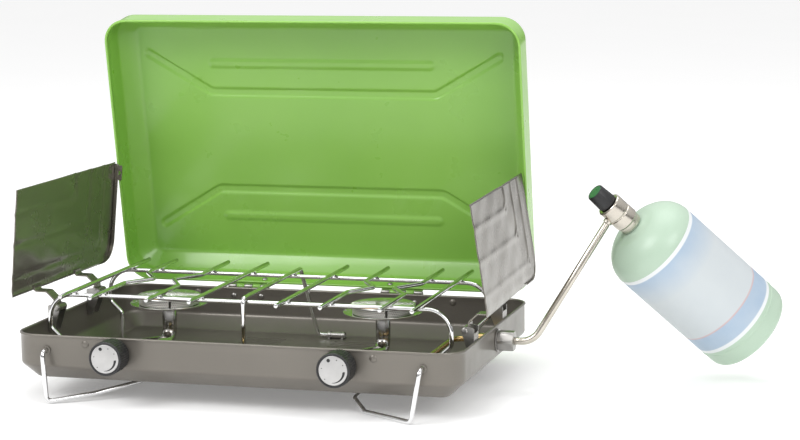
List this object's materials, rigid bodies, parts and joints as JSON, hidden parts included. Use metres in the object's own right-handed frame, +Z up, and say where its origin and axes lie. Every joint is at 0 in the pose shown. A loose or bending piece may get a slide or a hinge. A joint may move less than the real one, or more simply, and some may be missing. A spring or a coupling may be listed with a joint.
{
  "type": "camping stove",
  "caption": "Folding gas camping stove: shallow tray with burners and wire pot grate, hinged lid, side wind shields, wire feet, and a gas bottle on a bent pipe with regulator.",
  "frame": {"origin": "on the ground under the middle of the tray", "axes": "+X to the user's right, +Y to the back (lid side), +Z up"},
  "size_m": [0.8134, 0.3992, 0.3988],
  "materials": {
    "lid_green": "leaf green baked enamel, glossy",
    "tray_grey": "taupe grey metallic enamel",
    "shield_grey": "satin grey enamel, slightly rippled",
    "chrome_wire": "bright chrome plate",
    "burner_metal": "bright plated, faint heat tint",
    "steel_bits": "zinc plated steel",
    "brass": "turned brass",
    "pipe_nickel": "satin nickel plate",
    "black_plastic": "moulded black plastic",
    "knob_plate": "printed satin plate",
    "bottle_paint": "pale mint paint with plain pale bands"
  },
  "bodies": {
    "tray": {"tray_shell": "tray_grey", "burner_body_left": "burner_metal", "burner_body_right": "burner_metal", "burner_band_left": "burner_metal", "burner_band_right": "burner_metal", "burner_cap_left": "burner_metal", "burner_cap_right": "burner_metal", "burner_bracket_left": "steel_bits", "burner_bracket_right": "steel_bits", "burner_valve_left": "brass", "burner_valve_right": "brass", "gas_inlet_fitting": "brass", "cross_pipe": "brass", "inlet_washer": "steel_bits", "grate_sleeve": "steel_bits", "shield_bracket_left_front": "steel_bits", "shield_bracket_left_back": "steel_bits", "shield_bracket_right_front": "steel_bits", "shield_bracket_right_back": "steel_bits", "shield_pin_left_front": "steel_bits", "shield_pin_left_back": "steel_bits", "shield_pin_right_front": "steel_bits", "shield_pin_right_back": "steel_bits", "hinge_leaf_tray_left": "steel_bits", "hinge_leaf_tray_right": "steel_bits", "hinge_pin_left": "steel_bits", "hinge_pin_right": "steel_bits", "hinge_screw_left_1": "steel_bits", "hinge_screw_left_2": "steel_bits", "hinge_screw_right_1": "steel_bits", "hinge_screw_right_2": "steel_bits"},
    "lid": {"lid_shell": "lid_green", "hinge_leaf_lid_left": "lid_green", "hinge_leaf_lid_right": "lid_green"},
    "grate": {"grate_rail_front": "chrome_wire", "grate_rail_back": "chrome_wire", "grate_bar_middle": "chrome_wire", "grate_bar_left_1": "chrome_wire", "grate_bar_left_2": "chrome_wire", "grate_bar_left_3": "chrome_wire", "grate_bar_left_4": "chrome_wire", "grate_bar_right_1": "chrome_wire", "grate_bar_right_2": "chrome_wire", "grate_bar_right_3": "chrome_wire", "grate_bar_right_4": "chrome_wire"},
    "shield_left": {"wind_shield_left": "shield_grey"},
    "shield_right": {"wind_shield_right": "shield_grey"},
    "knob_left": {"knob_left": "black_plastic", "knob_face_left": "knob_plate", "valve_stem_left": "brass"},
    "knob_right": {"knob_right": "black_plastic", "knob_face_right": "knob_plate", "valve_stem_right": "brass"},
    "leg_left": {"leg_wire_left": "chrome_wire"},
    "leg_right": {"leg_wire_right": "chrome_wire"},
    "gas_line": {"gas_pipe": "pipe_nickel", "regulator_body": "pipe_nickel", "regulator_cap": "black_plastic"},
    "inlet_nut": {"inlet_nut": "steel_bits"},
    "gas_bottle": {"gas_bottle": "bottle_paint"}
  },
  "joints": [
    {"name": "lid_hinge", "type": "hinge", "parent": "tray", "child": "lid", "pos_m": [0, 0.1642, 0.0743], "axis": [-1, 0, 0], "range_deg": [0, 20]},
    {"name": "shield_left_fold", "type": "hinge", "parent": "tray", "child": "shield_left", "pos_m": [-0.2355, 0, 0.085], "axis": [-0.0227, -0.9997, 0], "range_deg": [-83, 0]},
    {"name": "shield_right_fold", "type": "hinge", "parent": "tray", "child": "shield_right", "pos_m": [0.2355, 0, 0.085], "axis": [-0.0227, 0.9997, 0], "range_deg": [-80, 0]},
    {"name": "grate_tilt", "type": "hinge", "parent": "tray", "child": "grate", "pos_m": [0.02, 0.125, 0.028], "axis": [-1, 0, 0], "range_deg": [0, 55]},
    {"name": "knob_left_turn", "type": "hinge", "parent": "tray", "child": "knob_left", "pos_m": [-0.1295, -0.1756, 0.0565], "axis": [0, -1, 0], "range_deg": [0, 210]},
    {"name": "knob_right_turn", "type": "hinge", "parent": "tray", "child": "knob_right", "pos_m": [0.1225, -0.1756, 0.0565], "axis": [0, -1, 0], "range_deg": [0, 210]},
    {"name": "leg_left_swing", "type": "hinge", "parent": "tray", "child": "leg_left", "pos_m": [-0.2095, 0, 0.057], "axis": [0, 1, 0], "range_deg": [0, 70]},
    {"name": "leg_right_swing", "type": "hinge", "parent": "tray", "child": "leg_right", "pos_m": [0.2095, 0, 0.057], "axis": [0, -1, 0], "range_deg": [0, 70]},
    {"name": "gas_line_swivel", "type": "hinge", "parent": "tray", "child": "gas_line", "pos_m": [0.258, 0.003, 0.0565], "axis": [1, 0, 0], "range_deg": [0, 40]},
    {"name": "inlet_nut_turn", "type": "hinge", "parent": "gas_line", "child": "inlet_nut", "pos_m": [0.259, 0.003, 0.0565], "axis": [1, 0, 0], "continuous": true},
    {"name": "bottle_unscrew", "type": "slide", "parent": "gas_line", "child": "gas_bottle", "axis": [0.6131, 0.4341, -0.6601], "range_m": [0, 0.06]}
  ]
}
